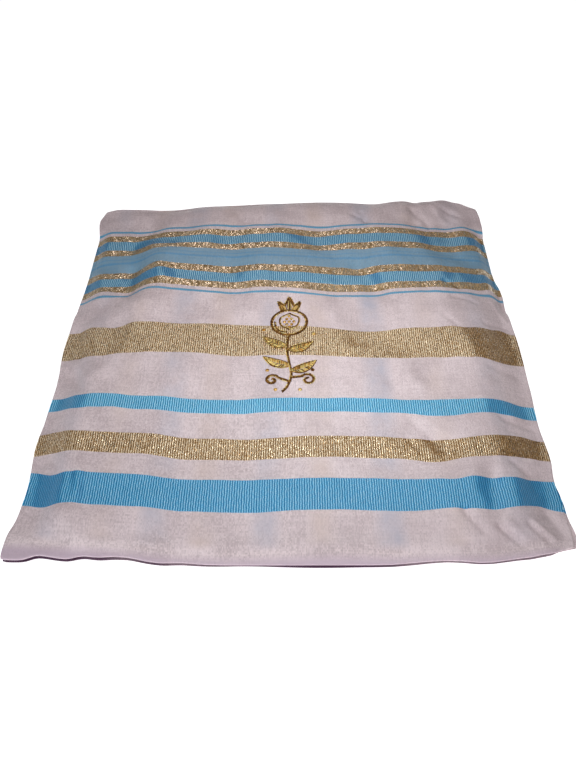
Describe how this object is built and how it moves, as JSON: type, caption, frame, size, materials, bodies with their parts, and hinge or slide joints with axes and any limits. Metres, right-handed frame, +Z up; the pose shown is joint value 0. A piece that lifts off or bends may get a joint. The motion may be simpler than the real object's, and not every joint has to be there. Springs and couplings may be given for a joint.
{
  "type": "folded tallit prayer shawl",
  "caption": "Prayer shawl of white cloth with woven cross bands, folded into a low rectangular packet and lying flat.",
  "frame": {"origin": "middle of the packet's flat underside, on the surface it lies on", "axes": "+Z up, +X to the right along the bands, -Y towards the front fold that faces the viewer, +Y towards the back fold"},
  "size_m": [0.2827, 0.2986, 0.0176],
  "materials": {
    "shawl_cloth": "satin-faced plain weave, with ribbed blue bands and gold metallic bands woven in",
    "inner_cloth": "the same white cloth, folded, with the ends of its bands showing at the edges"
  },
  "bodies": {
    "root": {"outer_layer": "shawl_cloth", "hidden_layers": "inner_cloth"}
  },
  "joints": []
}
